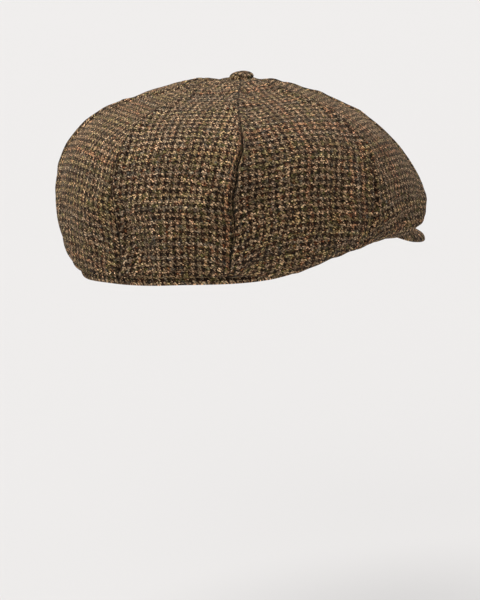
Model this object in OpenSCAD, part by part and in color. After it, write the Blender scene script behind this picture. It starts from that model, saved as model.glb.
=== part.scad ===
// Eight-panel newsboy cap with a stiff peak.
// +X points to the front, +Y to the wearer's left, +Z up. The origin is the middle of the
// head opening, in the plane of the headband's lower edge. Millimetres.

/* [Head opening] */
// Length of the headband's outer face, front to back
band_length = 212; // [206:1:216]
// Width of the headband's outer face
band_width = 178; // [172:1:182]
// Height of the outer headband
band_height = 7; // [6:0.5:9]
// Thickness of the folded headband
band_wall = 3; // [2.5:0.25:3.5]
// Height of the sweatband
sweatband_height = 32; // [25:1:36]
// Thickness of the sweatband
sweatband_wall = 1.2; // [0.8:0.1:1.6]

/* [Crown] */
// Height of the crown's top over the headband's lower edge
crown_height = 107; // [102:1:112]
// How far in front of the middle the panels meet
apex_forward = 19; // [10:1:24]
// Reach of the crown in front of the middle
crown_front = 125; // [122:1:130]
// Reach of the crown behind the middle
crown_back = 106.5; // [106.5:0.5:112]
// Half of the crown's full width
crown_half_width = 120; // [114:1:124]
// Height of the crown's widest line, averaged round the cap
fold_height = 33; // [30:1:36]
// How much lower than that the widest line is in front, and higher behind
fold_tilt = 8; // [4:1:10]
// How far the front is drawn down over the peak
front_dip = 9; // [6:0.5:10]
// Thickness of the panels' tweed with its interfacing
panel_wall = 2; // [1.5:0.1:2.2]
// Thickness of the lining
lining_wall = 0.8; // [0.6:0.1:1]

/* [Peak] */
// Depth of the peak at its middle
peak_depth = 44; // [40:1:50]
// Half angle that the peak's root takes up round the headband
peak_half_angle = 46; // [44:1:52]
// Drop of the peak for each millimetre of depth
peak_slope = 0.46; // [0.4:0.01:0.52]
// Thickness of the finished peak
peak_thickness = 4.4; // [4:0.1:5]
// Thickness of the peak's stiffening board
board_thickness = 1.4; // [1.2:0.1:1.8]

/* [Button and press stud] */
// Diameter of the covered button
button_diameter = 16; // [14:0.5:18]
// Height of the covered button
button_height = 5.2; // [4.5:0.1:6]
// Diameter of the press stud
stud_diameter = 9; // [8:0.5:9.5]

/* [Hidden] */
panel_names = ["front_left", "side_front_left", "side_back_left", "back_left",
    "back_right", "side_back_right", "side_front_right", "front_right"];

tweed = "#6b5846";
tweed_side = "#5d4c3c";
lining_cloth = "#3b3330";
panel_angle = 360 / len(panel_names);

// Crown: rows run from the button down over the fold to the headband
band_a = band_length / 2;
band_b = band_width / 2;
fold_saddle = 3; // the widest line is higher at the sides by twice this
fold_mid_x = 4.5;
top_squareness = [2.3, 0.68]; // mean exponent of the panels' spread, and how it falls to the front
top_fullness = [2.13, 0.7]; // the same for their height
under_squareness = 3.1;
under_fullness = 2.2;
front_sag = 1.5; // slack of the folded-under front
apex_hole = 3;
top_rows = 12;
under_rows = 7;
panel_columns = 6;
lining_gap = 0.3;
row_step = 0.02;

function unit(v) = v / norm(v);
function front_only(a) = pow(max(0, cos(a)), 4);
function band_point(a, inset = 0) = [(band_a - inset) * cos(a), (band_b - inset) * sin(a)];
function fold_reach(a) = cos(a) > 0 ? crown_front - fold_mid_x : crown_back + fold_mid_x;
function fold_point(a) = [fold_mid_x + fold_reach(a) * cos(a), crown_half_width * sin(a)];
function fold_z(a) = fold_height - fold_tilt * cos(a) - fold_saddle * cos(2 * a)
    - front_dip * front_only(a);

// The crown above its widest line, k from 0 at the button's hole to 1
function crown_top(a, k) =
    let (spread = 2 / (top_squareness[0] - top_squareness[1] * cos(a)))
    let (rise = 2 / (top_fullness[0] - top_fullness[1] * cos(a)))
    let (apex = [apex_forward, 0], edge = fold_point(a))
    let (start = asin(pow(apex_hole / norm(edge - apex), 1 / spread)))
    let (t = start + (90 - start) * k)
    let (u = pow(sin(t), spread), v = k >= 1 ? 0 : pow(cos(t), rise))
    let (xy = apex + (edge - apex) * u)
    [xy.x, xy.y, fold_z(a) + (crown_height - fold_z(a)) * v];

// The part that folds under to the headband, k from 0 to 1
function crown_under(a, k) =
    let (u = k >= 1 ? 0 : pow(cos(90 * k), 2 / under_squareness))
    let (w = pow(sin(90 * k), 2 / under_fullness))
    let (xy = band_point(a) + (fold_point(a) - band_point(a)) * u)
    [xy.x, xy.y, fold_z(a) + (band_height - fold_z(a)) * w - 4 * front_sag * u * (1 - u) * front_only(a)];

// The seam allowance on the headband, k from 0 to 1
function crown_allowance(a, k) = [each band_point(a, band_wall * k), band_height];

function crown_point(a, r) = r <= 1 ? crown_top(a, r) : r <= 2 ? crown_under(a, r - 1)
    : crown_allowance(a, r - 2);
function crown_slope(a, r) = crown_point(a, min(r + row_step, 3)) - crown_point(a, max(r - row_step, 0));
function crown_facing(a, r) = unit(cross(crown_slope(a, r), crown_point(a + 1, r) - crown_point(a - 1, r)));
function crown_normal(a, r) = r == 2 ? unit(crown_facing(a, 1.85) + crown_facing(a, 2.5))
    : crown_facing(a, r);
crown_rows = [for (i = [0 : top_rows]) i / top_rows, for (i = [1 : under_rows]) 1 + i / under_rows];
function crown_layer(first, rows, depth) = [for (r = rows) [for (j = [0 : panel_columns])
    let (a = first + panel_angle * j / panel_columns) crown_point(a, r) - depth * crown_normal(a, r)]];

// Peak: rows run from the root out to the edge
peak_gap = 0.4; // between the peak's root and the headband
peak_root_z = 3.5;
peak_end_depth = 4;
peak_roundness = 1.2;
peak_side_drop = 21; // how much further the sides hang than the middle does
peak_straightness = 0.3; // share of the slope that is straight; the rest grows outwards
peak_rows = 8;
peak_columns = 24;
peak_border = 3; // width of the edge outside the board
peak_edge_round = 0.8;
peak_border_start = 1 - 1 / peak_rows;
cover_wall = (peak_thickness - board_thickness) / 2;

function peak_reach(a) = peak_end_depth + (peak_depth - peak_end_depth)
    * pow(max(0, cos(90 * a / peak_half_angle)), peak_roundness);
function peak_facing(a) = unit([cos(a) / (band_a + peak_gap), sin(a) / (band_b + peak_gap)]);
function peak_z(d, reach) = peak_root_z
    - peak_slope * d * (peak_straightness + (1 - peak_straightness) * d / peak_depth);
function peak_point(a, d, drop) = let (xy = band_point(a, -peak_gap) + peak_facing(a) * d)
    [xy.x, xy.y, peak_z(d, peak_reach(a)) - peak_side_drop * (1 - cos(90 * a / peak_half_angle)) * d / peak_depth - drop];
// Row distances: even over the board, then the border
function peak_distance(a, i) = i == peak_rows ? peak_reach(a)
    : (peak_reach(a) - peak_border) * i / (peak_rows - 1);
function over_board(i, j) = i < peak_rows && j > 0 && j < peak_columns;
function peak_column(j) = peak_half_angle * (2 * j / peak_columns - 1);
function peak_layer(over, border, edge) = [for (i = [0 : peak_rows]) [for (j = [0 : peak_columns])
    let (a = peak_column(j), rim = i == peak_rows || j == 0 || j == peak_columns)
    peak_point(a, peak_distance(a, i), (over_board(i, j) ? over : border) + (rim ? edge : 0))]];
function inner_grid(grid) = [for (i = [0 : peak_rows - 1]) [for (j = [1 : peak_columns - 1]) grid[i][j]]];

// Peak hinge: the chord between the two ends of the root
hinge_x = (band_a + peak_gap) * cos(peak_half_angle);

// Press stud between the folded-under front and the peak
snap_x = 115;
snap_tilt = 11;
socket_height = 2;
bore_radius = 1.9;
bore_depth = 1.4;
post_radius = 1.65;
post_height = 1.2;
stud_height = 0.8;
stud_gap = 0.05;
stud_lift = 0.45; // of the stud's base over the sloping peak, so that its low side stays clear
snap_base_z = peak_z(snap_x - band_a - peak_gap, peak_depth) + stud_lift;

// Button
button_base = crown_height + 0.15;
cover_cloth = 0.9;
shell_metal = 0.4;
shank_radius = 1.6;
washer_radius = 6;
washer_height = 0.6;
lining_depth = panel_wall + lining_gap + lining_wall;
washer_gap = 1.2; // under the lining, which slopes away in front
washer_top = crown_height - lining_depth - washer_gap;

module sheet_solid(outer, inner) {
    rows = len(outer);
    columns = len(outer[0]);
    shift = rows * columns;
    function at(i, j) = i * columns + j;
    faces = [
        for (i = [0 : rows - 2], j = [0 : columns - 2]) each [
            [at(i, j), at(i, j + 1), at(i + 1, j + 1)],
            [at(i, j), at(i + 1, j + 1), at(i + 1, j)],
            [shift + at(i, j), shift + at(i + 1, j + 1), shift + at(i, j + 1)],
            [shift + at(i, j), shift + at(i + 1, j), shift + at(i + 1, j + 1)]
        ],
        for (i = [0 : rows - 2]) each [
            [at(i, 0), at(i + 1, 0), shift + at(i + 1, 0)],
            [at(i, 0), shift + at(i + 1, 0), shift + at(i, 0)],
            [at(i + 1, columns - 1), at(i, columns - 1), shift + at(i + 1, columns - 1)],
            [at(i, columns - 1), shift + at(i, columns - 1), shift + at(i + 1, columns - 1)]
        ],
        for (j = [0 : columns - 2]) each [
            [at(0, j + 1), at(0, j), shift + at(0, j)],
            [at(0, j + 1), shift + at(0, j), shift + at(0, j + 1)],
            [at(rows - 1, j), at(rows - 1, j + 1), shift + at(rows - 1, j + 1)],
            [at(rows - 1, j), shift + at(rows - 1, j + 1), shift + at(rows - 1, j)]
        ]
    ];
    polyhedron(points = [for (row = outer) each row, for (row = inner) each row], faces = faces);
}

module ring(inset, wall, height) {
    linear_extrude(height) difference() {
        polygon([for (i = [0 : 95]) band_point(3.75 * i, inset)]);
        polygon([for (i = [0 : 95]) band_point(3.75 * i, inset + wall)]);
    }
}

module crown_panel(index) {
    first = panel_angle * index;
    rows = [each crown_rows, 3];
    color(index % 2 == 0 ? tweed : tweed_side)
        sheet_solid(crown_layer(first, rows, 0), crown_layer(first, rows, panel_wall));
}

module lining_panel(index) {
    first = panel_angle * index;
    rows = [each crown_rows, 2.5];
    color(lining_cloth) sheet_solid(crown_layer(first, rows, panel_wall + lining_gap),
        crown_layer(first, rows, lining_depth));
}

module headband() {
    color("#54463a") ring(0, band_wall, band_height);
}

module sweatband() {
    color("#2a2320") ring(band_wall + 0.5, sweatband_wall, sweatband_height);
}

module peak_top_cover() {
    color(tweed) sheet_solid(peak_layer(0, 0, peak_edge_round), peak_layer(cover_wall, peak_thickness / 2, 0));
}

module peak_board() {
    color("#c9b48a") sheet_solid(inner_grid(peak_layer(cover_wall, 0, 0)),
        inner_grid(peak_layer(peak_thickness - cover_wall, 0, 0)));
}

module peak_under_cover() {
    color(tweed_side) sheet_solid(peak_layer(peak_thickness - cover_wall, peak_thickness / 2, 0),
        peak_layer(peak_thickness, peak_thickness, -peak_edge_round));
}

// A dome of revolution, flat below, shrunk inwards by inset
module dome(inset) {
    radius = button_diameter / 2 - inset;
    height = button_height - inset;
    rotate_extrude($fn = 64) intersection() {
        translate([0, height - (radius * radius + height * height) / (2 * height)])
            circle(r = (radius * radius + height * height) / (2 * height), $fn = 96);
        square([radius, height]);
    }
}

module on_button() {
    translate([apex_forward, 0, button_base]) children();
}

module button_cover() {
    color(tweed) on_button() difference() {
        dome(0);
        translate([0, 0, -0.01]) dome(cover_cloth);
    }
}

module button_shell() {
    color("silver") on_button() difference() {
        dome(cover_cloth + 0.02);
        translate([0, 0, -0.01]) dome(cover_cloth + shell_metal);
    }
}

module button_shank() {
    plate_radius = button_diameter / 2 - cover_cloth - shell_metal - 1;
    color("gray") translate([apex_forward, 0, 0]) union() {
        translate([0, 0, button_base]) cylinder(r = plate_radius, h = 0.6, $fn = 48);
        translate([0, 0, washer_top - washer_height - 0.8])
            cylinder(r = shank_radius, h = button_base + 0.3 - washer_top + washer_height + 0.8, $fn = 32);
    }
}

module button_washer() {
    color("darkgray") translate([apex_forward, 0, washer_top - washer_height]) difference() {
        cylinder(r = washer_radius, h = washer_height, $fn = 48);
        translate([0, 0, -1]) cylinder(r = shank_radius + 0.05, h = washer_height + 2, $fn = 32);
    }
}

module on_snap() {
    translate([snap_x, 0, snap_base_z]) rotate([0, snap_tilt, 0]) children();
}

module snap_socket() {
    flange = 0.7;
    color("dimgray") on_snap() translate([0, 0, stud_height + stud_gap]) difference() {
        union() {
            translate([0, 0, socket_height - flange])
                cylinder(d = stud_diameter, h = flange, $fn = 48);
            cylinder(r = bore_radius + 1.1, h = socket_height, $fn = 48);
        }
        translate([0, 0, -1]) cylinder(r = bore_radius, h = bore_depth + 1, $fn = 32);
    }
}

module snap_stud() {
    color("dimgray") on_snap() union() {
        cylinder(d = stud_diameter, h = stud_height, $fn = 48);
        cylinder(r = post_radius, h = stud_height + post_height, $fn = 32);
    }
}

for (i = [0 : len(panel_names) - 1]) {
    crown_panel(i);
    lining_panel(i);
}
headband();
sweatband();
peak_top_cover();
peak_board();
peak_under_cover();
button_cover();
button_shell();
button_shank();
button_washer();
snap_socket();
snap_stud();
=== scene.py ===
import math

import bmesh
import bpy
from mathutils import Matrix, Vector, noise


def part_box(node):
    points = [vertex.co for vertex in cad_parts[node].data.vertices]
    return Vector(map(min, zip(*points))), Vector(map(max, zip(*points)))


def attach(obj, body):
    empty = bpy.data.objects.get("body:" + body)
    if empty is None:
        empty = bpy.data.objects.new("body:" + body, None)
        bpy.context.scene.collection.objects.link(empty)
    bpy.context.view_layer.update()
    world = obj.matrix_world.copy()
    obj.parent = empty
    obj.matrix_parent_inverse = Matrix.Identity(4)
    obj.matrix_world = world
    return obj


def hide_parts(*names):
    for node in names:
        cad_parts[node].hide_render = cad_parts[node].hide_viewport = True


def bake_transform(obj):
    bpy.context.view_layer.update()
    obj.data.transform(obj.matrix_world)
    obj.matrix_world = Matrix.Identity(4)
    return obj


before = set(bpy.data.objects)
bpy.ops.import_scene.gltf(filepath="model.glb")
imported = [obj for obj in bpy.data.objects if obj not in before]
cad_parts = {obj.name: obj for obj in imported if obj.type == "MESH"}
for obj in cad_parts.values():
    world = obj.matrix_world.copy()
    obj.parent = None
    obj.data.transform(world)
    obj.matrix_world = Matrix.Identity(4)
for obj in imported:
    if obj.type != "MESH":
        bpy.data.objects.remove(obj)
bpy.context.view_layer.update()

scene = bpy.context.scene
mm = 0.001
print("frame loaded")


# node helpers

def newMaterial(name):
    material = bpy.data.materials.new(name)
    material.use_nodes = True
    return material, material.node_tree, material.node_tree.nodes["Principled BSDF"]


def feed(tree, socket, value):
    if isinstance(value, bpy.types.NodeSocket):
        tree.links.new(value, socket)
    else:
        socket.default_value = value


def setLevels(node, levels):
    for name, level in levels.items():
        node.inputs[name].default_value = level


def calc(tree, operation, *values):
    node = tree.nodes.new("ShaderNodeMath")
    node.operation = operation
    for socket, value in zip(node.inputs, values):
        feed(tree, socket, value)
    return node.outputs[0]


# stage: camera, lights and floor

view = {
    "turn": 226.48,  # direction from the cap to the camera, degrees from +X towards +Y
    "rise": 12.08,
    "roll": 5.12,
    "distance": 1.9,
    "lens": 178.2,
    "clip": (0.05, 1000),
    "aim": (3.07 * mm, -32.9 * mm),  # where the frame's middle lies, beside and below the origin
}


def makeCamera():
    turn, rise, roll = (math.radians(view[name]) for name in ("turn", "rise", "roll"))
    back = Vector((math.cos(turn) * math.cos(rise), math.sin(turn) * math.cos(rise), math.sin(rise)))
    right = (-back).cross(Vector((0, 0, 1))).normalized()
    up = right.cross(-back)
    across = right * math.cos(roll) - up * math.sin(roll)
    upright = right * math.sin(roll) + up * math.cos(roll)
    spot = across * view["aim"][0] + upright * view["aim"][1]
    place = back * view["distance"]
    look = (spot - place).normalized()
    side = look.cross(upright).normalized()
    camera = bpy.data.objects.new("camera", bpy.data.cameras.new("camera"))
    scene.collection.objects.link(camera)
    matrix = camera.matrix_world.copy()
    for row in range(3):
        matrix[row][0], matrix[row][1] = side[row], side.cross(look)[row]
        matrix[row][2], matrix[row][3] = -look[row], place[row]
    camera.matrix_world = matrix
    camera.data.lens = view["lens"]
    camera.data.sensor_width = 36
    camera.data.clip_start, camera.data.clip_end = view["clip"]
    scene.camera = camera


lighting = {
    "world": (0.98, 0.98, 1.0),
    "worldStrength": 0.3,
    "suns": {  # direction, strength and angular size in degrees
        "key": ((0.06, 0.42, 0.9), 3.75, 50),
        "left": ((-0.8, -0.3, 0.55), 1.45, 60),
        "front": ((0.9, -0.2, 0.4), 0.8, 60),
    },
    "floorDrop": 0.25,
    "floorSize": 300,
    "floorColour": (0.232, 0.227, 0.223),
    "floorGlow": (0.42, 0.412, 0.408),  # light that comes through the paper and keeps the shadow faint
}


def makeSun(name, direction, strength, angle):
    lamp = bpy.data.objects.new(name, bpy.data.lights.new(name, "SUN"))
    lamp.data.energy = strength
    lamp.data.angle = math.radians(angle)
    lamp.rotation_euler = Vector(direction).to_track_quat("Z", "Y").to_euler()
    scene.collection.objects.link(lamp)


def makeStage():
    scene.view_settings.view_transform = "Standard"
    world = bpy.data.worlds.new("studio")
    scene.world = world
    world.use_nodes = True
    background = world.node_tree.nodes["Background"]
    setLevels(background, {"Color": (*lighting["world"], 1), "Strength": lighting["worldStrength"]})
    for name, sun in lighting["suns"].items():
        makeSun(name, *sun)
    bpy.ops.mesh.primitive_plane_add(size=lighting["floorSize"], location=(0, 0, -lighting["floorDrop"]))
    floor = bpy.context.object
    floor.name = "floor"
    material, tree, shader = newMaterial("floorPaper")
    setLevels(shader, {"Base Color": (*lighting["floorColour"], 1), "Roughness": 0.95,
                       "Emission Color": (*lighting["floorGlow"], 1), "Emission Strength": 1})
    clear = tree.nodes.new("ShaderNodeBsdfTransparent")  # the floor is open from below
    mix = tree.nodes.new("ShaderNodeMixShader")
    side = tree.nodes.new("ShaderNodeNewGeometry")
    output = tree.nodes["Material Output"]
    tree.links.new(side.outputs["Backfacing"], mix.inputs["Fac"])
    tree.links.new(shader.outputs["BSDF"], mix.inputs[1])
    tree.links.new(clear.outputs["BSDF"], mix.inputs[2])
    tree.links.new(mix.outputs["Shader"], output.inputs["Surface"])
    floor.data.materials.append(material)


makeCamera()
makeStage()
print("stage set")


# colour and pattern nodes

def blendColour(tree, share, first, second, mode="MIX"):
    node = tree.nodes.new("ShaderNodeMix")
    node.data_type = "RGBA"
    node.blend_type = mode
    feed(tree, node.inputs["Factor"], share)
    for socket, value in ((node.inputs[6], first), (node.inputs[7], second)):
        feed(tree, socket, value if isinstance(value, bpy.types.NodeSocket) else (*value, 1))
    return node.outputs[2]


def clothPlace(tree, mapName, scale=1.0):
    place = tree.nodes.new("ShaderNodeUVMap")
    place.uv_map = mapName
    mapping = tree.nodes.new("ShaderNodeMapping")
    mapping.inputs["Scale"].default_value = (scale, scale, scale)
    tree.links.new(place.outputs["UV"], mapping.inputs["Vector"])
    return mapping.outputs["Vector"]


def grain(tree, place, scale, detail=2.0, roughness=0.5, stretch=(1, 1, 1), output="Fac"):
    mapping = tree.nodes.new("ShaderNodeMapping")
    mapping.inputs["Scale"].default_value = stretch
    tree.links.new(place, mapping.inputs["Vector"])
    node = tree.nodes.new("ShaderNodeTexNoise")
    setLevels(node, {"Scale": scale, "Detail": detail, "Roughness": roughness})
    tree.links.new(mapping.outputs["Vector"], node.inputs["Vector"])
    return node.outputs[output]


def scatter(tree, first, second, seed):
    join = tree.nodes.new("ShaderNodeCombineXYZ")
    feed(tree, join.inputs[0], first)
    feed(tree, join.inputs[1], second)
    join.inputs[2].default_value = seed
    node = tree.nodes.new("ShaderNodeTexWhiteNoise")
    node.noise_dimensions = "3D"
    tree.links.new(join.outputs[0], node.inputs["Vector"])
    return node.outputs["Value"]


def ramp(tree, share, stops, interpolation="LINEAR"):
    node = tree.nodes.new("ShaderNodeValToRGB")
    node.color_ramp.interpolation = interpolation
    elements = node.color_ramp.elements
    while len(elements) < len(stops):
        elements.new(0.5)
    for element, (position, colour) in zip(elements, stops):
        element.position = position
        element.color = (*colour, 1)
    tree.links.new(share, node.inputs["Fac"])
    return node.outputs["Color"]


def addBump(tree, shader, height, distance, strength=1.0):
    node = tree.nodes.new("ShaderNodeBump")
    setLevels(node, {"Distance": distance, "Strength": strength})
    feed(tree, node.inputs["Height"], height)
    tree.links.new(node.outputs["Normal"], shader.inputs["Normal"])


# tweed

tweed = {
    "yarn": 0.56 * mm,  # from one yarn to the next
    "stripe": 4,  # yarns to a light or dark stripe
    "tan": (0.385, 0.272, 0.158),
    "dark": (0.032, 0.0165, 0.0085),
    "rust": (0.36, 0.12, 0.045),
    "olive": (0.22, 0.20, 0.06),
    "slate": (0.17, 0.18, 0.15),
    "neps": 0.2,  # share of yarn crossings that are a bright fleck
    "fleck": 0.35,  # how much the coloured fibres show
    "relief": 0.22 * mm,
    "groove": (0.35 * mm, 1.0 * mm),  # half width of a seam's shade, dark and faded out
    "grooveShade": 0.35,
    "cellTone": (1.35, 0.32),  # spread and least brightness of a check's cells
    "fibreTone": (6.5, -2.3),  # how hard the fibres' noise brightens and darkens it
    "riseShade": (0.47, 0.39),  # the same for the height of a yarn: painted shade that darkens its sides and the gaps between yarns
    "fleckTone": (1.5, -0.6, 0.85),  # what a bright or a dim fleck adds, and the brightness without
    "surface": {"Roughness": 0.95, "Specular IOR Level": 0.08, "Sheen Weight": 0.05, "Sheen Roughness": 0.45,
                "Sheen Tint": (0.9, 0.78, 0.62, 1)},
}


def makeTweed(name, seams=False):
    material, tree, shader = newMaterial(name)
    yarns = clothPlace(tree, "weave", 1 / tweed["yarn"])
    split = tree.nodes.new("ShaderNodeSeparateXYZ")
    tree.links.new(yarns, split.inputs[0])
    across, along = split.outputs[0], split.outputs[1]
    wander = calc(tree, "MULTIPLY", calc(tree, "SUBTRACT", grain(tree, yarns, 0.35, 1), 0.5), 0.5)
    across = calc(tree, "ADD", across, wander)
    along = calc(tree, "ADD", along, wander)
    warp, weft = calc(tree, "FLOOR", across), calc(tree, "FLOOR", along)
    inWarp, inWeft = calc(tree, "FRACT", across), calc(tree, "FRACT", along)
    step = calc(tree, "FLOORED_MODULO", calc(tree, "ADD", warp, weft), 4)
    over = calc(tree, "LESS_THAN", step, 1.5)  # two up, two down

    def stripeColour(yarn, code):
        group = calc(tree, "FLOOR", calc(tree, "DIVIDE", yarn, 2 * tweed["stripe"]))
        light = calc(tree, "LESS_THAN", calc(tree, "FLOORED_MODULO", yarn, 2 * tweed["stripe"]),
                     tweed["stripe"] - 0.5)
        pick = scatter(tree, group, code, 3.1)
        tint = ramp(tree, pick, [(0.0, tweed["tan"]), (0.5, tweed["olive"]), (0.66, tweed["tan"]),
                                 (0.78, tweed["rust"]), (0.86, tweed["slate"])], "CONSTANT")
        tint = blendColour(tree, 0.55, tint, tweed["tan"])
        single = scatter(tree, yarn, code, 7.7)
        tint = blendColour(tree, calc(tree, "MULTIPLY", single, 0.35), tint, tweed["rust"])
        return blendColour(tree, light, tweed["dark"], tint)

    colour = blendColour(tree, over, stripeColour(weft, 2.0), stripeColour(warp, 1.0))
    patches = grain(tree, yarns, 0.16, 2, 0.6, output="Color")
    hues = tree.nodes.new("ShaderNodeSeparateColor")
    tree.links.new(patches, hues.inputs[0])
    for channel, fibre, least in ((0, "rust", 0.56), (1, "olive", 0.55), (2, "slate", 0.58)):
        share = tree.nodes.new("ShaderNodeMapRange")
        setLevels(share, {"From Min": least, "From Max": least + 0.1, "To Max": tweed["fleck"]})
        tree.links.new(hues.outputs[channel], share.inputs["Value"])
        colour = blendColour(tree, share.outputs[0], colour, tweed[fibre])
    lane = calc(tree, "FLOOR", calc(tree, "DIVIDE", weft, 2))
    slub = calc(tree, "FLOOR", calc(tree, "DIVIDE", calc(tree, "MULTIPLY_ADD", lane, 0.87, warp), 2))
    cell = scatter(tree, slub, lane, 1.3)
    diagonal = calc(tree, "DIVIDE", calc(tree, "ADD", warp, weft), 2)
    pair = scatter(tree, calc(tree, "FLOOR", diagonal), weft, 5.9)
    fibres = grain(tree, yarns, 0.9, 3, 0.75)
    value = calc(tree, "MULTIPLY_ADD", cell, *tweed["cellTone"])
    brightTone, dimTone, plainTone = tweed["fleckTone"]
    bright = calc(tree, "LESS_THAN", pair, tweed["neps"])
    dim = calc(tree, "GREATER_THAN", pair, 1 - tweed["neps"])
    fleck = calc(tree, "MULTIPLY_ADD", bright, brightTone, plainTone)
    fleck = calc(tree, "MULTIPLY_ADD", dim, dimTone, fleck)
    value = calc(tree, "MULTIPLY", value, fleck)
    shade = calc(tree, "MAXIMUM", 0.1, calc(tree, "MULTIPLY_ADD", fibres, *tweed["fibreTone"]))
    value = calc(tree, "MULTIPLY", value, shade)
    along2 = calc(tree, "DIVIDE", calc(tree, "ADD", step, inWeft), 2)
    across2 = calc(tree, "DIVIDE", calc(tree, "ADD", calc(tree, "SUBTRACT", step, 2), inWarp), 2)

    def crest(place, power):
        edge = calc(tree, "ABSOLUTE", calc(tree, "MULTIPLY_ADD", place, 2, -1))
        return calc(tree, "SUBTRACT", 1, calc(tree, "POWER", edge, power))

    warpRise = calc(tree, "MULTIPLY", crest(inWarp, 2), crest(along2, 4))
    weftRise = calc(tree, "MULTIPLY", crest(inWeft, 2), crest(across2, 4))
    rise = calc(tree, "ADD", calc(tree, "MULTIPLY", over, warpRise),
                calc(tree, "MULTIPLY", calc(tree, "SUBTRACT", 1, over), weftRise))
    # painted shade: the colour is drawn darker down each yarn's sides and in the gaps between yarns
    value = calc(tree, "MULTIPLY", value, calc(tree, "MULTIPLY_ADD", rise, *tweed["riseShade"]))
    if seams:  # the groove of a seam lies in its own shade
        groove = tree.nodes.new("ShaderNodeMapRange")
        gap = tree.nodes.new("ShaderNodeSeparateXYZ")
        tree.links.new(clothPlace(tree, "seamGap"), gap.inputs[0])
        for socket, level in zip(list(groove.inputs)[1:5], (*tweed["groove"], tweed["grooveShade"], 1)):
            socket.default_value = level
        tree.links.new(gap.outputs[0], groove.inputs[0])
        value = calc(tree, "MULTIPLY", value, groove.outputs[0])
    dull = tree.nodes.new("ShaderNodeCombineColor")
    for socket in dull.inputs[:3]:
        tree.links.new(value, socket)
    colour = blendColour(tree, 1.0, colour, dull.outputs[0], "MULTIPLY")
    tree.links.new(colour, shader.inputs["Base Color"])
    setLevels(shader, tweed["surface"])
    height = calc(tree, "ADD", rise, calc(tree, "MULTIPLY", fibres, 0.9))
    addBump(tree, shader, height, tweed["relief"], 0.9)
    return material


tweedCloth = makeTweed("tweed")
seamedTweed = makeTweed("seamedTweed", seams=True)
print("tweed woven")


# Crown: the shape that the panels are cut to

bandLow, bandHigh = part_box("headband")
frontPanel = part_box("crown_panel_front_left")
crown = {
    "bandLength": bandHigh.x,
    "bandWidth": bandHigh.y,
    "bandTop": bandHigh.z,
    "top": frontPanel[1].z,
    "front": frontPanel[1].x,
    "back": -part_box("crown_panel_back_left")[0].x,
    "side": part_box("crown_panel_side_front_left")[1].y,
    "apex": 19 * mm,
    "apexHole": 3 * mm,
    "foldMiddle": 4.5 * mm,
    "foldHeight": 33 * mm,
    "foldTilt": 8 * mm,
    "foldSaddle": 3 * mm,
    "frontDip": 9 * mm,
    "frontSag": 1.5 * mm,
    "spread": (2.3, 0.68),
    "fullness": (2.13, 0.7),
    "underSpread": 3.1,
    "underFullness": 2.2,
    "panels": 8,
    "cloth": 1.7 * mm,
    "fullnessOut": 1.3 * mm,
    "roll": 2.2 * mm,  # how far the folded-under cloth hangs over the headband
    "rollStart": 1.45,  # the row where it starts to hang
    "gather": 0.9 * mm,  # how far the cloth stands up round the button
    "gatherRows": 0.12,
    "wornStart": 1.2,  # the row where it starts to follow the headband's worn edge
}
# How far the headband's edge rises from level when worn: (degrees round the cap, mm)
bandRise = [(0, 0), (42, 0), (84, 2.6), (116, -1.2), (150, -2.2), (180, 0.3), (208, 0.5), (242, -2.2),
            (276, 3.0), (318, 0), (360, 0)]
panelNames = ["front_left", "side_front_left", "side_back_left", "back_left",
              "back_right", "side_back_right", "side_front_right", "front_right"]
panelTurn = math.tau / crown["panels"]

# How far each seam strays round the cap from its even place: (row, degrees)
seamWander = [
    [(0, 0), (2, 0)],
    [(0, 0), (0.6, -3), (1, -1), (2, 0)],
    [(0, 0), (0.7, -4), (1, 1), (2, 0)],
    [(0, 0), (0.7, -2), (1, 2), (2, 0)],
    [(0, 0), (0.8, 2.5), (1.1, 4), (1.6, 4), (2, 2)],
    [(0, 0), (0.6, 2.2), (0.78, 0), (0.94, -2), (1.3, -3), (2, -1)],
    [(0, 0), (0.66, 7), (0.81, 4), (0.92, 2), (1, 1), (1.3, -1), (2, 0)],
    [(0, 0), (0.7, 3), (1, 1), (2, 0)],
]
# How strongly each seam is drawn in along its length: (row, depth in mm)
seamPull = [
    [(0, 0.5), (0.5, 0.8), (1, 0.7), (2, 0.5)],
    [(0, 0.4), (0.6, 0.9), (1, 0.6), (2, 0.5)],
    [(0, 0.4), (0.5, 0.5), (0.9, 1.2), (2, 0.5)],
    [(0, 0.4), (0.6, 1.2), (1, 0.8), (2, 0.5)],
    [(0, 0.4), (0.5, 0.4), (0.9, 0.8), (1.3, 0.7), (2, 0.4)],
    [(0, 0.4), (0.4, 0.5), (0.55, 2.3), (0.95, 2.3), (1.1, 1.0), (2, 0.5)],
    [(0, 0.4), (0.5, 0.6), (0.7, 1.5), (1.25, 1.5), (2, 0.5)],
    [(0, 0.4), (0.6, 0.7), (1, 0.7), (2, 0.5)],
]


def alongPath(stops, place):
    for (start, first), (end, second) in zip(stops, stops[1:]):
        if place <= end:
            share = max(0.0, (place - start) / (end - start))
            share = share * share * (3 - 2 * share)
            return first + (second - first) * share
    return stops[-1][1]


def bandPoint(turn, out=0.0):
    length, width = crown["bandLength"] + out, crown["bandWidth"] + out
    return Vector((length * math.cos(turn), width * math.sin(turn), 0))


def bandLift(turn):
    return alongPath(bandRise, math.degrees(turn) % 360) * mm


def frontOnly(turn):
    return max(0.0, math.cos(turn)) ** 4


def foldPoint(turn):
    middle = crown["foldMiddle"]
    reach = crown["front"] - middle if math.cos(turn) > 0 else crown["back"] + middle
    height = crown["foldHeight"] - crown["foldTilt"] * math.cos(turn)
    height -= crown["foldSaddle"] * math.cos(2 * turn) + crown["frontDip"] * frontOnly(turn)
    return Vector((middle + reach * math.cos(turn), crown["side"] * math.sin(turn), height))


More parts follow.
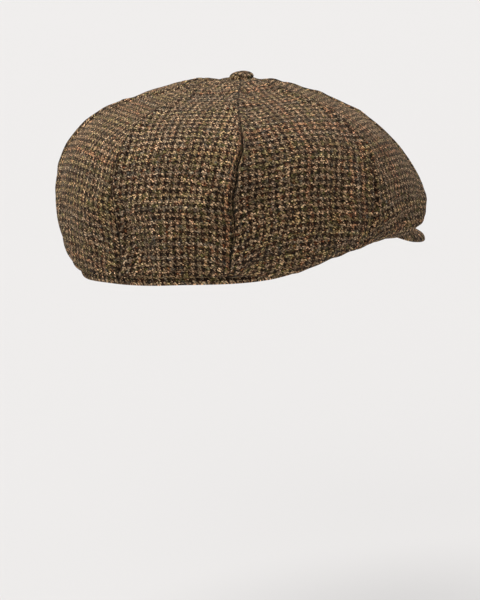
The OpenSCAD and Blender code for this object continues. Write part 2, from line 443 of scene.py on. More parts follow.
def crownPoint(turn, row):
    fold = foldPoint(turn)
    if row <= 1:  # from the button down to the widest line
        spread = 2 / (crown["spread"][0] - crown["spread"][1] * math.cos(turn))
        rise = 2 / (crown["fullness"][0] - crown["fullness"][1] * math.cos(turn))
        reach = math.hypot(fold.x - crown["apex"], fold.y)
        start = math.asin((crown["apexHole"] / reach) ** (1 / spread))
        angle = start + (math.pi / 2 - start) * row
        out = math.sin(angle) ** spread
        up = max(0.0, math.cos(angle)) ** rise
        return Vector((crown["apex"] + (fold.x - crown["apex"]) * out, fold.y * out,
                       fold.z + (crown["top"] - fold.z) * up))
    band = bandPoint(turn)
    if row <= 2:  # folded under, in to the headband
        angle = math.pi / 2 * (row - 1)
        out = max(0.0, math.cos(angle)) ** (2 / crown["underSpread"])
        down = math.sin(angle) ** (2 / crown["underFullness"])
        height = fold.z + (crown["bandTop"] - fold.z) * down
        height -= 4 * crown["frontSag"] * out * (1 - out) * frontOnly(turn)
        return Vector((band.x + (fold.x - band.x) * out, band.y + (fold.y - band.y) * out, height))
    inner = bandPoint(turn, -2.5 * mm * (row - 2))  # the seam allowance on the headband
    return Vector((inner.x, inner.y, crown["bandTop"]))


def crownNormal(turn, row):
    small = 0.02
    down = crownPoint(turn, min(row + small, 3)) - crownPoint(turn, max(row - small, 0))
    aside = crownPoint(turn + small, row) - crownPoint(turn - small, row)
    return down.cross(aside).normalized()


def turnAt(panelPlace, row):  # panelPlace counts panels round the cap, with its fraction across one
    index = math.floor(panelPlace)
    share = panelPlace - index
    strays = [alongPath(seamWander[(index + side) % crown["panels"]], row) for side in (0, 1)]
    stray = strays[0] + (strays[1] - strays[0]) * share
    return panelPlace * panelTurn + math.radians(stray)


def objectFrom(mesh, name):
    data = bpy.data.meshes.new(name)
    mesh.to_mesh(data)
    mesh.free()
    piece = bpy.data.objects.new(name, data)
    scene.collection.objects.link(piece)
    return piece


def spinProfile(spots, steps, closed=False):
    mesh = bmesh.new()
    posts = [mesh.verts.new((out, 0, height)) for out, height in spots]
    rails = [mesh.edges.new(pair) for pair in zip(posts, posts[1:] + posts[:1 if closed else 0])]
    bmesh.ops.spin(mesh, geom=posts + rails, cent=(0, 0, 0), axis=(0, 0, 1), angle=math.tau, steps=steps,
                   use_merge=True)
    return mesh


def layMap(mesh, name, placeOf):
    layer = mesh.loops.layers.uv.new(name)
    for face in mesh.faces:
        for loop in face.loops:
            loop[layer].uv = placeOf(loop.vert)


# Drape: the crown's cloth settles slack between its seams

drape = {
    "perPanel": 12,
    "topRows": 30,
    "underRows": 14,
    "frames": 26,
    "slack": 0.03,
    "pressure": 0.6,
    "gravity": 0.5,
    "seamHold": 0.5,
    "panelHold": 0.05,
    "limit": 3 * mm,
}


def drapeCrown():
    top, under, perPanel = drape["topRows"], drape["underRows"], drape["perPanel"]
    columns = perPanel * crown["panels"]
    rows = [i / top for i in range(top + 1)] + [1 + (i + 1) / under for i in range(under)]
    keys = [(level, column) for level in range(len(rows)) for column in range(columns)]
    spots = [crownPoint(turnAt(column / perPanel, rows[level]), rows[level]) for level, column in keys]
    faces = []
    for level in range(len(rows) - 1):  # in a fixed order, so that the simulation repeats
        for column in range(columns):
            here, there = level * columns + column, level * columns + (column + 1) % columns
            faces.append((here, here + columns, there + columns, there))
    data = bpy.data.meshes.new("crownDrape")
    data.from_pydata(spots, [], faces)
    piece = bpy.data.objects.new("crownDrape", data)
    scene.collection.objects.link(piece)
    moves = {key: Vector() for key in keys}
    rest = [vert.co.copy() for vert in piece.data.vertices]
    hold = piece.vertex_groups.new(name="hold")
    for index, (level, column) in enumerate(keys):
        share = drape["seamHold"] if column % perPanel == 0 else drape["panelHold"]
        if level < 2 or level >= len(rows) - 3:
            share = 1.0
        hold.add([index], share, "REPLACE")
    cloth = piece.modifiers.new("drape", "CLOTH")
    settings = cloth.settings
    settings.quality = 6
    settings.mass = 0.4
    settings.tension_stiffness = settings.compression_stiffness = 12
    settings.shear_stiffness = 6
    settings.bending_stiffness = 1.5
    settings.vertex_group_mass = "hold"
    settings.pin_stiffness = 6
    settings.shrink_min = -drape["slack"]
    settings.use_pressure = True
    settings.uniform_pressure_force = drape["pressure"]
    settings.effector_weights.gravity = drape["gravity"]
    cloth.collision_settings.use_collision = False
    cloth.point_cache.frame_end = drape["frames"]
    for number in range(1, drape["frames"] + 1):
        scene.frame_set(number)
    settled = piece.evaluated_get(bpy.context.evaluated_depsgraph_get()).to_mesh()
    for key, vert, start in zip(keys, settled.vertices, rest):
        move = vert.co - start
        moves[key] = move * min(1.0, drape["limit"] / max(move.length, 1e-9))
    scene.frame_set(1)
    bpy.data.objects.remove(piece)
    return rows, moves


drapedRows, drapedMoves = drapeCrown()
print(f"crown draped, largest move {max(move.length for move in drapedMoves.values()) / mm:.1f} mm")


def drapeMove(panelPlace, row):
    columns = drape["perPanel"] * crown["panels"]
    place = panelPlace * drape["perPanel"]
    column = math.floor(place)
    level = 0
    while level < len(drapedRows) - 2 and drapedRows[level + 1] < row:
        level += 1
    span = drapedRows[level + 1] - drapedRows[level]
    downShare = min(1.0, max(0.0, (row - drapedRows[level]) / span))
    corners = [drapedMoves[(level + down, (column + side) % columns)] for down in (0, 1) for side in (0, 1)]
    upper = corners[0].lerp(corners[1], place - column)
    lower = corners[2].lerp(corners[3], place - column)
    return upper.lerp(lower, downShare)


# Folds that the worn cloth has taken. A path goes by (degrees round the cap, row);
# depth is inwards and width is half the valley, both in mm.
folds = [
    {"path": [(239, 0.62), (236, 0.78), (234, 0.92), (227, 0.99), (220, 1.04), (213, 1.12), (206, 1.40)],
     "depth": 4.2, "width": 7},
    {"path": [(216, 0.68), (214, 0.84), (212, 0.96)], "depth": -1.8, "width": 8},
    {"path": [(222.2, 0.74), (220.7, 0.86), (218.6, 0.98)], "depth": 1.8, "width": 2.2},
    {"path": [(224.3, 0.68), (223.1, 0.8), (221, 0.94)], "depth": -0.9, "width": 1.5},
    {"path": [(235, 1.03), (229, 1.22), (223, 1.55)], "depth": -3.0, "width": 7},
    {"path": [(264, 0.70), (259, 0.86), (255, 1.0), (249, 1.18)], "depth": 3.2, "width": 6},
    {"path": [(267, 0.78), (263, 0.92), (259, 1.06)], "depth": -1.8, "width": 6},
    {"path": [(187, 0.88), (187, 1.05), (186, 1.35)], "depth": 2.2, "width": 5},
    {"path": [(194, 0.94), (193, 1.15), (192, 1.55)], "depth": 2.2, "width": 5},
    {"path": [(205, 0.80), (208, 0.95)], "depth": 1.0, "width": 7},
    {"path": [(296, 1.10), (290, 1.20), (284, 1.24), (278, 1.25), (271, 1.33)], "depth": 3.6, "width": 3.5},
    {"path": [(297, 1.0), (290, 1.10), (283, 1.14), (277, 1.16), (270, 1.22)], "depth": -1.8, "width": 4},
    {"path": [(334, 1.25), (318, 1.35), (304, 1.45), (292, 1.55)], "depth": -3.0, "width": 7},
    {"path": [(118, 0.66), (124, 0.85), (131, 1.0), (140, 1.15)], "depth": 3.4, "width": 7},
    {"path": [(126, 1.02), (133, 1.25), (138, 1.5)], "depth": -1.4, "width": 7},
    {"path": [(140, 0.72), (136, 1.1), (132, 1.5)], "depth": 2.9, "width": 26},
    {"path": [(90, 0.22), (106, 0.36)], "depth": -2.6, "width": 16},
    {"path": [(318, 1.08), (318, 1.32)], "depth": 2.2, "width": 12},
    {"path": [(96, 0.74), (99, 0.92), (104, 1.12)], "depth": 2.8, "width": 6},
    {"path": [(160, 0.90), (161, 1.1), (163, 1.45)], "depth": 2.2, "width": 6},
    {"path": [(76, 1.24), (70, 1.22), (64, 1.15)], "depth": 2.2, "width": 4},
    {"path": [(62, 0.80), (68, 0.95), (75, 1.05)], "depth": 2.0, "width": 7},
    {"path": [(30, 0.72), (24, 0.88)], "depth": 1.4, "width": 8},
    {"path": [(336, 0.70), (341, 0.88)], "depth": 1.3, "width": 8},
    {"path": [(178, 1.9), (166, 1.93), (154, 1.92)], "depth": -2.2, "width": 4},
    {"path": [(134, 1.35), (150, 1.35), (166, 1.35), (182, 1.35)], "depth": 1.4, "width": 8},
    {"path": [(230, 1.72), (241, 1.8), (251, 1.8)], "depth": -2.2, "width": 6},
]
for fold in folds:
    fold["points"] = [crownPoint(math.radians(turn), row) for turn, row in fold["path"]]


def foldDepth(spot):
    total = 0.0
    for fold in folds:
        points, width = fold["points"], fold["width"] * mm
        if (points[0] - spot).length > 120 * mm:
            continue
        nearest, share = 1.0, 0.0
        for index, (start, end) in enumerate(zip(points, points[1:])):
            run = end - start
            place = min(1.0, max(0.0, (spot - start).dot(run) / run.length_squared))
            gap = (spot - start - run * place).length
            if gap < nearest:
                nearest, share = gap, (index + place) / (len(points) - 1)
        taper = math.sin(math.pi * (0.08 + 0.84 * share)) ** 0.6
        total += fold["depth"] * mm * taper * math.exp(-(nearest / width) ** 2)
    return total


seam = {
    "width": 0.75,  # mm, as are shoulderAt and shoulderWidth
    "shoulder": 0.35,  # rise beside the dip, as a share of its depth
    "shoulderAt": 2.4,
    "shoulderWidth": 1.3,
    "pull": 1.35,  # times the depths in seamPull
}


def seamDepth(gap, pull):
    dip = math.exp(-(gap / seam["width"]) ** 2)
    shoulder = seam["shoulder"] * math.exp(-((gap - seam["shoulderAt"]) / seam["shoulderWidth"]) ** 2)
    return (dip - shoulder) * pull * seam["pull"] * mm


def clothPoint(panelPlace, row, width, depth=0.0):
    turn = turnAt(panelPlace, row)
    spot = crownPoint(turn, row)
    normal = crownNormal(turn, row)
    index = math.floor(panelPlace)
    share = panelPlace - index
    inward = depth + foldDepth(spot) * min(1.0, max(0.0, (1.98 - row) * 6))
    for side, gap in ((0, share), (1, 1 - share)):
        pull = alongPath(seamPull[(index + side) % crown["panels"]], min(row, 2))
        inward += seamDepth(gap * width / mm, pull)
    start = crown["rollStart"]
    if start < row < 2:  # the cloth hangs in a soft roll before it turns up to the band
        spot.z -= crown["roll"] * math.sin(math.pi * ((row - start) / (2 - start)) ** 1.6)
    elif row >= 2:
        inward = depth
    else:
        inward -= crown["fullnessOut"] * math.sin(math.pi * min(row, 1)) ** 2
    if row < 0.3:
        inward -= crown["gather"] * math.exp(-(row / crown["gatherRows"]) ** 2)
    worn = min(1.0, max(0.0, (row - crown["wornStart"]) / (2 - crown["wornStart"])))
    spot.z += bandLift(turn) * worn * worn * (3 - 2 * worn)
    return spot + drapeMove(panelPlace, row) - normal * inward


def gridMesh(rows, columns):
    mesh = bmesh.new()
    bmesh.ops.create_grid(mesh, x_segments=columns - 1, y_segments=rows - 1, size=0.5)
    keys = {}
    for vert in mesh.verts:
        keys[vert] = (round((0.5 - vert.co.y) * (rows - 1)), round((vert.co.x + 0.5) * (columns - 1)))
    return mesh, keys


def layWeave(mesh, keys, spots, rows, columns, offset):
    middle = (columns - 1) // 2
    sideRun, middleRun, halves = [0.0], [0.0], []
    for row in range(rows):
        line = [spots[(row, column)] for column in range(columns)]
        halves.append(sum((b - a).length for a, b in zip(line, line[1:])) / 2)
    for row in range(1, rows):
        centre = (spots[(row, middle)] - spots[(row - 1, middle)]).length
        edge = 0.5 * sum((spots[(row, side)] - spots[(row - 1, side)]).length for side in (0, columns - 1))
        middleRun.append(middleRun[-1] + centre)
        sideRun.append(sideRun[-1] + math.sqrt(max(0.0, edge ** 2 - (halves[row] - halves[row - 1]) ** 2)))
    places = {}
    for row in range(rows):
        run = 0.0
        for column in range(columns):
            if column:
                run += (spots[(row, column)] - spots[(row, column - 1)]).length
            aside = run - halves[row]
            bow = (aside / halves[row]) ** 2 if halves[row] > 0 else 0
            down = middleRun[row] + (sideRun[row] - middleRun[row]) * bow
            places[(row, column)] = (aside + offset[0], offset[1] - down)
    layMap(mesh, "weave", lambda vert: places[keys[vert]])
    return 2 * max(halves), max(middleRun[-1], sideRun[-1])


def thicken(piece, thickness, levels=1):
    if levels:
        smoother = piece.modifiers.new("smooth", "SUBSURF")
        smoother.levels = smoother.render_levels = levels
    wall = piece.modifiers.new("wall", "SOLIDIFY")
    wall.thickness = thickness
    wall.offset = -1.0


def finishPiece(piece, material, body, nodes=()):
    piece.data.materials.append(material)
    for polygon in piece.data.polygons:
        polygon.use_smooth = True
    if body:
        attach(piece, body)
    if nodes:
        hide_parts(*nodes)
    return piece


def declareCloth(piece, width, length, held="stretched", rests=(), area=None):
    area = area or sum(polygon.area for polygon in piece.data.polygons)
    print(f"{piece.name}: {width / mm:.0f} x {length / mm:.0f} mm, {area * 1e4:.0f} cm2")


def makePanel(name, index, levels, shares, depth):
    rows, columns = len(levels), len(shares)
    mesh, keys = gridMesh(rows, columns)
    spots = {}
    for row, level in enumerate(levels):
        ends = [crownPoint(turnAt(index + side, level), level) for side in (0, 0.99999)]
        width = (ends[0] - ends[1]).length
        for column, share in enumerate(shares):
            place = index + min(share, 0.99999)
            spots[(row, column)] = clothPoint(place, level, width, depth(place, level))
    for vert in mesh.verts:
        vert.co = spots[keys[vert]]
    size = layWeave(mesh, keys, spots, rows, columns, (0.3113 * index, 0.1707 * index))

    def seamGap(vert):
        row, column = keys[vert]
        return min((spots[(row, column)] - spots[(row, side)]).length for side in (0, columns - 1)), 0

    layMap(mesh, "seamGap", seamGap)
    bmesh.ops.recalc_face_normals(mesh, faces=mesh.faces)
    outward = sum(face.normal.dot(face.calc_center_median() - Vector((0, 0, 40 * mm))) for face in mesh.faces)
    if outward < 0:
        bmesh.ops.reverse_faces(mesh, faces=mesh.faces)
    return objectFrom(mesh, name), size


# Crown panels: eight gores of tweed

panelGrid = {"columns": 28, "topRows": 48, "underRows": 26, "crowding": 0.88}


def crowdedShares(count, crowding):  # closer together towards both seams
    return [i / count - crowding * math.sin(math.tau * i / count) / math.tau for i in range(count + 1)]


def makeCrown():
    top, under = panelGrid["topRows"], panelGrid["underRows"]
    levels = [i / top for i in range(top + 1)] + [1 + (i + 1) / under for i in range(under)] + [2.4]
    shares = crowdedShares(panelGrid["columns"], panelGrid["crowding"])
    for index, name in enumerate(panelNames):
        piece, size = makePanel(f"{name}_panel_cloth", index, levels, shares, lambda place, level: 0.0)
        thicken(piece, crown["cloth"])
        finishPiece(piece, seamedTweed, "crown", [f"crown_panel_{name}"])
        declareCloth(piece, *size, rests=["headband"])


makeCrown()
print("crown panels cut")


# Lining: eight gores of satin, loose inside the crown

lining = {
    "depth": 2.2 * mm,
    "wrinkle": 1.3 * mm,
    "cloth": 0.4 * mm,
    "colour": (0.062, 0.04, 0.027),
    "shade": (0.034, 0.021, 0.014),
    "thread": 0.3 * mm,
    "columns": 18,
    "topRows": 34,
    "underRows": 16,
}


def makeSatin():
    material, tree, shader = newMaterial("liningSatin")
    place = clothPlace(tree, "weave")
    cloud = grain(tree, place, 60, 3, 0.55)
    lines = grain(tree, place, 1 / lining["thread"], 1, 0.5, stretch=(0.08, 1, 1))
    tone = calc(tree, "MULTIPLY_ADD", lines, 0.6, calc(tree, "MULTIPLY", cloud, 0.6))
    tree.links.new(ramp(tree, tone, [(0.3, lining["shade"]), (0.75, lining["colour"])]),
                   shader.inputs["Base Color"])
    tree.links.new(calc(tree, "MULTIPLY_ADD", lines, 0.15, 0.3), shader.inputs["Roughness"])
    setLevels(shader, {"Specular IOR Level": 0.4, "Sheen Weight": 0.2, "Sheen Roughness": 0.3})
    addBump(tree, shader, lines, 0.06 * mm, 0.6)
    return material


def liningDepth(place, level):
    puff = noise.noise(Vector((place * 3.1, level * 5, 3.3)))
    puff += 0.6 * noise.noise(Vector((place * 9, level * 3, 8)))
    return lining["depth"] + lining["wrinkle"] * max(0.0, 0.45 + puff)


def makeLining(satin):
    top, under = lining["topRows"], lining["underRows"]
    levels = [0.015 + 0.985 * i / top for i in range(top + 1)]
    levels += [1 + 0.95 * (i + 1) / under for i in range(under)]
    shares = crowdedShares(lining["columns"], 0.7)
    for index, name in enumerate(panelNames):
        piece, size = makePanel(f"{name}_lining_cloth", index, levels, shares, liningDepth)
        thicken(piece, lining["cloth"])
        finishPiece(piece, satin, "crown", [f"lining_panel_{name}"])
        declareCloth(piece, *size, rests=[f"{name}_panel_cloth"])


liningSatin = makeSatin()
makeLining(liningSatin)
print("lining sewn")


# Bands: rings round the head opening, cut in two where the peak's root ends.

peakRoot = {"reach": 106.4 * mm, "halfTurn": 46}  # where the root ends, in mm from the middle and degrees
hingeX = peakRoot["reach"] * math.cos(math.radians(peakRoot["halfTurn"]))
ringSteps = 720
ringTable = [0.0]
for step in range(ringSteps):
    ends = [bandPoint(math.tau * place / ringSteps) for place in (step + 1, step)]
    ringTable.append(ringTable[-1] + (ends[0] - ends[1]).length)


def ringRun(turn):  # how far round the head opening, in metres
    place = (turn % math.tau) / math.tau * ringSteps
    step = min(ringSteps - 1, math.floor(place))
    return ringTable[step] + (ringTable[step + 1] - ringTable[step]) * (place - step)


def ringMesh(profile, columns, shape=None):
    base = 0.1  # radius of the round ring that is then fitted to the head opening
    mesh = spinProfile([(base + out, height) for out, height in profile], columns, closed=True)
    turns = {}
    for vert in mesh.verts:
        turn = math.atan2(vert.co.y, vert.co.x) % math.tau
        out = math.hypot(vert.co.x, vert.co.y) - base
        height = vert.co.z
        turns[vert] = (turn, out, height)
        if shape:
            out, height = shape(turn, out, height)
        spot = bandPoint(turn, out)
        vert.co = (spot.x, spot.y, height + bandLift(turn))
    layer = mesh.loops.layers.uv.new("weave")
    for face in mesh.faces:
        around = [turns[vert][0] for vert in face.verts]
        wraps = max(around) - min(around) > math.pi
        for loop in face.loops:
            turn, out, height = turns[loop.vert]
            run = ringRun(turn) + (ringTable[-1] if wraps and turn < math.pi else 0)
            loop[layer].uv = (run, height - out)
    bmesh.ops.recalc_face_normals(mesh, faces=mesh.faces)
    return mesh


def splitAtHinge(mesh, name):
    parts = []
    for side, clear in (("front", {"clear_inner": True}), ("back", {"clear_outer": True})):
        part = mesh.copy()
        cut = bmesh.ops.bisect_plane(part, geom=part.verts[:] + part.edges[:] + part.faces[:], dist=1e-6,
                                     plane_co=(hingeX, 0, 0), plane_no=(1, 0, 0), **clear)
        edges = [item for item in cut["geom_cut"] if isinstance(item, bmesh.types.BMEdge)]
        bmesh.ops.holes_fill(part, edges=edges, sides=0)
        parts.append(objectFrom(part, f"{name}_{side}"))
    mesh.free()
    return parts


def joinToPeak(piece):  # bakes the piece's placement into its mesh
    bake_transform(piece)


def declareStrips(front, back, sides):  # a folded strip, opened out flat; sides is 2 if the mesh has both
    split = math.acos(hingeX / crown["bandLength"])
    frontRun = 2 * ringRun(split)
    for piece, run in ((front, frontRun), (back, ringTable[-1] - frontRun)):
        area = sum(polygon.area for polygon in piece.data.polygons) / sides
        declareCloth(piece, run, area / run, "folded", area=area)


headband = {"wall": 3.0 * mm, "cloth": 0.8 * mm, "round": 0.9 * mm, "height": bandHigh.z, "columns": 144}


def makeHeadband():
    wall, curve, height = headband["wall"], headband["round"], headband["height"]
    profile = [(0.25 * mm, height * 0.5), (0.1 * mm, height * 0.8), (-0.3 * mm, height - 0.25 * mm),
               (-curve, height - 0.05 * mm), (-wall + 0.4 * mm, height - 0.05 * mm), (-wall, height - curve),
               (-wall, height * 0.5), (-wall, curve), (-wall + 0.35 * mm, 0.25 * mm), (-wall * 0.5, 0),
               (-0.5 * mm, 0.15 * mm), (0, 0.8 * mm), (0.2 * mm, height * 0.28)]

    def puckered(turn, out, level):
        if out > -wall * 0.5:
            swell = noise.noise(Vector((math.cos(turn) * 14, math.sin(turn) * 14, 2.5)))
            return out + 0.25 * mm * swell, level
        return out, level

    front, back = splitAtHinge(ringMesh(profile, headband["columns"], puckered), "headband_cloth")
    for piece, body in ((front, None), (back, "crown")):
        finishPiece(piece, tweedCloth, body, ["headband"])
        thicken(piece, headband["cloth"], 0)
    joinToPeak(front)
    declareStrips(front, back, 1)


makeHeadband()
print("headband turned up")


# Sweatband: ribbed ribbon, sewn in below and free above

sweatband = {
    "out": -3.5 * mm,
    "wall": 1.1 * mm,
    "height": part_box("sweatband")[1].z,
    "rib": 1.05 * mm,
    "colour": (0.036, 0.026, 0.02),
    "shade": (0.016, 0.012, 0.01),
    "stitch": 3.2 * mm,
    "thread": 0.28 * mm,
    "threadColour": (0.07, 0.05, 0.035),
}


def makeRibbon():
    material, tree, shader = newMaterial("sweatbandRibbon")
    place = clothPlace(tree, "weave")
    split = tree.nodes.new("ShaderNodeSeparateXYZ")
    tree.links.new(place, split.inputs[0])
    wave = calc(tree, "SINE", calc(tree, "MULTIPLY", split.outputs[0], math.tau / sweatband["rib"]))
    ridge = calc(tree, "MULTIPLY_ADD", wave, 0.5, 0.5)
    worn = grain(tree, place, 45, 3, 0.6)
    threads = grain(tree, place, 2600, 2, 0.6, stretch=(0.3, 1, 1))
    # painted shade: the valleys between the ribs are drawn darker, following the ribs' height
    tone = calc(tree, "ADD", calc(tree, "MULTIPLY", ridge, 0.35),
                calc(tree, "MULTIPLY_ADD", threads, 0.35, calc(tree, "MULTIPLY", worn, 0.35)))
    tree.links.new(ramp(tree, tone, [(0.25, sweatband["shade"]), (0.85, sweatband["colour"])]),
                   shader.inputs["Base Color"])
    tree.links.new(calc(tree, "MULTIPLY_ADD", worn, 0.25, 0.5), shader.inputs["Roughness"])
    setLevels(shader, {"Sheen Weight": 0.35, "Sheen Roughness": 0.4})
    addBump(tree, shader, calc(tree, "MULTIPLY_ADD", threads, 0.25, ridge), 0.22 * mm, 0.8)
    return material


def makeThreadMaterial():
    material, tree, shader = newMaterial("sewingThread")
    place = tree.nodes.new("ShaderNodeTexCoord").outputs["Object"]
    ply = grain(tree, place, 2500, 2, 0.6)
    dark = tuple(0.5 * level for level in sweatband["threadColour"])
    tone = ramp(tree, ply, [(0.35, dark), (0.65, sweatband["threadColour"])])
    tree.links.new(tone, shader.inputs["Base Color"])
    shader.inputs["Roughness"].default_value = 0.7
    addBump(tree, shader, ply, 0.05 * mm)
    return material


def addStitch(mesh, start, end, radius):
    middle = (start + end) / 2
    aim = (end - start).to_track_quat("Z", "Y").to_matrix().to_4x4()
    place = Matrix.Translation(middle) @ aim @ Matrix.Diagonal((radius, radius, (end - start).length / 2, 1))
    bmesh.ops.create_uvsphere(mesh, u_segments=6, v_segments=4, radius=1, matrix=place)


def ringStitches(name, out, height, front, material):
    mesh = bmesh.new()
    count = int(ringTable[-1] / sweatband["stitch"])
    for step in range(count):
        turns = [math.tau * (step + share) / count for share in (0.12, 0.88)]
        spots = [bandPoint(turn, out) + Vector((0, 0, height + bandLift(turn))) for turn in turns]
        if (spots[0].x > hingeX and spots[1].x > hingeX) == front:
            addStitch(mesh, spots[0], spots[1], sweatband["thread"])
    return finishPiece(objectFrom(mesh, name), material, None if front else "crown")


def makeSweatband():
    out, wall, height = sweatband["out"], sweatband["wall"], sweatband["height"]
    inner = out - wall
    profile = [(out, 0.6 * mm), (out - 0.3 * mm, 0.05 * mm), (inner + 0.3 * mm, 0.05 * mm), (inner, 0.6 * mm),
               (inner - 0.1 * mm, 3 * mm), (inner, 6 * mm), (inner, height * 0.4), (inner, height * 0.7),
               (inner, height - 0.7 * mm), (inner + 0.35 * mm, height - 0.1 * mm),
               (out - 0.35 * mm, height - 0.1 * mm), (out, height - 0.7 * mm), (out, height * 0.7),
               (out, height * 0.4), (out, 5 * mm)]

    def wavy(turn, radius, level):
        lift = max(0.0, level / height) ** 2
        wave = 0.5 * noise.noise(Vector((math.cos(turn) * 5, math.sin(turn) * 5, 7)))
        return radius + (wave - 0.4) * lift * mm, level

    ribbon = makeRibbon()
    thread = makeThreadMaterial()
    front, back = splitAtHinge(ringMesh(profile, 192, wavy), "sweatband_ribbon")
    finishPiece(front, ribbon, None, ["sweatband"])
    finishPiece(back, ribbon, "crown", ["sweatband"])
    joinToPeak(front)
    declareStrips(front, back, 2)
    for row, (level, lean) in enumerate(((3.0 * mm, 0.2 * mm), (4.6 * mm, 0.1 * mm))):
        for isFront in (True, False):
            name = f"sweatband_stitches_{row + 1}_{'front' if isFront else 'back'}"
            piece = ringStitches(name, inner - lean, level, isFront, thread)
            if isFront:
                joinToPeak(piece)
    return thread


sewingThread = makeSweatband()
print("sweatband sewn in")


# Peak: a top and an under cover of tweed round the board

peak = {
    "gap": 0.4 * mm,
    "rootHeight": 3.5 * mm,
    "depth": 44 * mm,
    "endDepth": 3 * mm,
    "halfTurn": peakRoot["halfTurn"],
    "roundness": 1.1,
    "slope": 0.46,
    "straightness": 0.3,
    "sideDrop": 27 * mm,
    "thickness": 4.8 * mm,
    "endThinning": 1.4 * mm,
    "cloth": 1.3 * mm,
    "edge": 1.8 * mm,  # width of the rounded rim
    "columns": 60,
    "rows": 34,
}


def peakReach(turn):
    share = max(0.0, math.cos(math.pi / 2 * math.degrees(turn) / peak["halfTurn"]))
    return peak["endDepth"] + (peak["depth"] - peak["endDepth"]) * share ** peak["roundness"]


def peakTop(turn, out):
    root = bandPoint(turn, peak["gap"])
    facing = Vector((math.cos(turn) / (crown["bandLength"] + peak["gap"]),
                     math.sin(turn) / (crown["bandWidth"] + peak["gap"]), 0)).normalized()
    spot = root + facing * out
    straight = peak["straightness"]
    drop = peak["slope"] * out * (straight + (1 - straight) * out / peak["depth"])
    aside = math.pi / 2 * math.degrees(turn) / peak["halfTurn"]
    drop += peak["sideDrop"] * (1 - math.cos(aside)) * out / peak["depth"]
    spot.z = peak["rootHeight"] - drop
    return spot


def makePeakCover(name, upper, node):
    rows, columns = peak["rows"], peak["columns"]
    mesh, keys = gridMesh(rows + 1, columns + 1)
    half = peak["thickness"] / 2
    for vert in mesh.verts:
        row, column = keys[vert]
        aside = math.sin(math.pi / 2 * (2 * column / columns - 1))
        turn = -math.radians(peak["halfTurn"]) * aside
        along = 1 - (1 - row / rows) ** 1.7
        reach = peakReach(turn)
        out = -0.3 * mm + (reach + 0.3 * mm) * along
        spot = peakTop(turn, out)
        endGap = (peakTop(turn, 0) - peakTop(math.copysign(math.radians(peak["halfTurn"]), turn), 0)).length
        rim = min(max(0.0, reach - out), endGap) / peak["edge"]
        sink = half * (1 - math.sqrt(max(0.0, 1 - (1 - min(1.0, rim)) ** 2)))
        ripple = 0.16 * mm * noise.noise(spot * 90) * min(1.0, rim)
        end = max(0.0, abs(math.degrees(turn)) / peak["halfTurn"] - 0.75) / 0.25
        if upper:
            spot.z -= sink - ripple
        else:
            spot.z -= peak["thickness"] - sink - ripple - peak["endThinning"] * end
        vert.co = spot
    layMap(mesh, "weave", lambda vert: (vert.co.y + 0.7, vert.co.x * 1.1 + (0.31 if upper else 0.77)))
    bmesh.ops.recalc_face_normals(mesh, faces=mesh.faces)
    up = sum(face.normal.z for face in mesh.faces)
    if (up > 0) != upper:
        bmesh.ops.reverse_faces(mesh, faces=mesh.faces)
    piece = objectFrom(mesh, name)
    thicken(piece, peak["cloth"])
    finishPiece(piece, tweedCloth, "peak", [node])
    width = 2 * (crown["bandWidth"] * math.sin(math.radians(peak["halfTurn"])) + peak["endDepth"])
    declareCloth(piece, width, peak["depth"] * 1.12 + 32 * mm, rests=["peak_board"])
    return piece


makePeakCover("peak_top_cloth", True, "peak_top_cover")
makePeakCover("peak_under_cloth", False, "peak_under_cover")
print("peak covered")


# Button: tweed gathered over a metal shell

buttonLow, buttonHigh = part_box("button_cover")
button = {
    "base": buttonLow.z,
    "radius": (buttonHigh.x - buttonLow.x) / 2,
    "height": 4.55 * mm,
    "pleats": 13,
    "pleatDepth": 0.3 * mm,
    "cloth": 0.5 * mm,
    "columns": 52,
    "stretch": 1.25,  # how much finer the weave looks on the dome
}


def makeButton():
    radius, height = button["radius"], button["height"]
    profile = [(0.001, 1.0), (0.16, 0.995), (0.34, 0.965), (0.52, 0.90), (0.68, 0.80), (0.82, 0.66),
               (0.92, 0.50), (0.985, 0.32), (1.0, 0.18), (0.975, 0.06), (0.9, -0.02), (0.72, -0.03),
               (0.5, -0.02)]
    mesh = spinProfile([(share * radius, level * height) for share, level in profile], button["columns"])
    bmesh.ops.remove_doubles(mesh, verts=mesh.verts, dist=0.02 * mm)

    def weavePlace(vert):
        x, y, z = vert.co
        return x * button["stretch"] + 0.05, y * button["stretch"] + 0.05 + (z - height) * 0.3

    layMap(mesh, "weave", weavePlace)
    for vert in mesh.verts:
        turn = math.atan2(vert.co.y, vert.co.x)
        low = max(0.0, 1 - vert.co.z / (0.62 * height))
        pleat = math.sin(button["pleats"] * turn + 2 * noise.noise(vert.co * 300))
        vert.co.xy *= 1 - button["pleatDepth"] / radius * low * (0.5 + 0.5 * pleat)
        vert.co.z += 0.12 * mm * noise.noise(vert.co * 420)
        vert.co += Vector((crown["apex"], 0, button["base"]))
    bmesh.ops.recalc_face_normals(mesh, faces=mesh.faces)
    piece = objectFrom(mesh, "button_cloth")
    thicken(piece, button["cloth"])
    finishPiece(piece, tweedCloth, "crown", ["button_cover"])
    run = sum(math.dist((a * radius, c * height), (b * radius, d * height))
              for (a, c), (b, d) in zip(profile, profile[1:]))
    declareCloth(piece, 2 * run, 2 * run, "gathered")


makeButton()
print("button covered")


# Hidden hardware keeps its exact shape and gets its finishes

hardware = {
    "board": (0.60, 0.56, 0.47),
    "boardShade": (0.50, 0.46, 0.38),
    "metal": (0.62, 0.62, 0.61),
    "metalShade": (0.42, 0.42, 0.42),
    "lacquer": (0.02, 0.02, 0.021),
    "studTilt": 11,  # degrees that the press stud leans with the peak
    "strandGap": 0.4 * mm,
    "strand": 0.2 * mm,
}


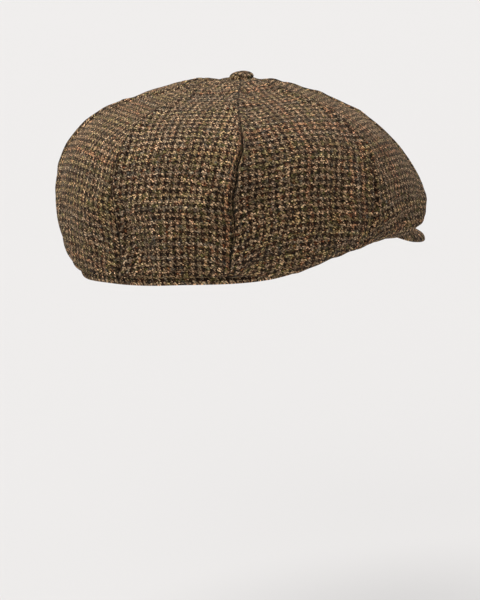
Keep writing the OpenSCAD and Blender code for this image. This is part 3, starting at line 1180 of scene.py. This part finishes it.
def makeHard(name, light, dark, metallic, roughness, scale, relief, coat=0.0):
    material, tree, shader = newMaterial(name)
    place = tree.nodes.new("ShaderNodeTexCoord").outputs["Object"]
    cloud = grain(tree, place, scale, 4, 0.6)
    tree.links.new(ramp(tree, cloud, [(0.35, dark), (0.65, light)]), shader.inputs["Base Color"])
    tree.links.new(calc(tree, "MULTIPLY_ADD", cloud, 0.25, roughness - 0.12), shader.inputs["Roughness"])
    setLevels(shader, {"Metallic": metallic, "Coat Weight": coat})
    addBump(tree, shader, cloud, relief, 0.5)
    return material


boardPlastic = makeHard("peakBoardPlastic", hardware["board"], hardware["boardShade"], 0, 0.75, 350,
                        0.05 * mm)
buttonMetal = makeHard("buttonMetal", hardware["metal"], hardware["metalShade"], 1, 0.35, 900, 0.02 * mm)
snapLacquer = makeHard("snapLacquer", hardware["lacquer"], hardware["lacquer"], 0.3, 0.35, 700, 0.02 * mm,
                       coat=0.4)
finishes = {"peak_board": boardPlastic, "button_shell": buttonMetal, "button_shank": buttonMetal,
            "button_washer": buttonMetal, "snap_socket": snapLacquer, "snap_stud": snapLacquer}
for name, material in finishes.items():
    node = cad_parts[name]
    node.data.materials.clear()
    node.data.materials.append(material)


def snapThreads(name, node, body, level, reach):
    low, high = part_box(node)
    middle = (low + high) / 2
    mesh = bmesh.new()
    tilt = Matrix.Rotation(math.radians(hardware["studTilt"]), 3, "Y")
    for quarter in range(4):
        for strand in (-1, 0, 1):
            turn = math.pi / 4 + quarter * math.pi / 2
            aim = Vector((math.cos(turn), math.sin(turn), 0))
            aside = Vector((-aim.y, aim.x, 0)) * strand * hardware["strandGap"]
            spots = [middle + tilt @ (aim * out + aside + Vector((0, 0, level))) for out in reach]
            addStitch(mesh, spots[0], spots[1], hardware["strand"])
    return finishPiece(objectFrom(mesh, name), sewingThread, body)


snapThreads("snap_stud_threads", "snap_stud", "peak", -0.15 * mm, (2.9 * mm, 4.9 * mm))
snapThreads("snap_socket_threads", "snap_socket", "crown", 0.25 * mm, (3.2 * mm, 4.9 * mm))
print("press stud sewn on")
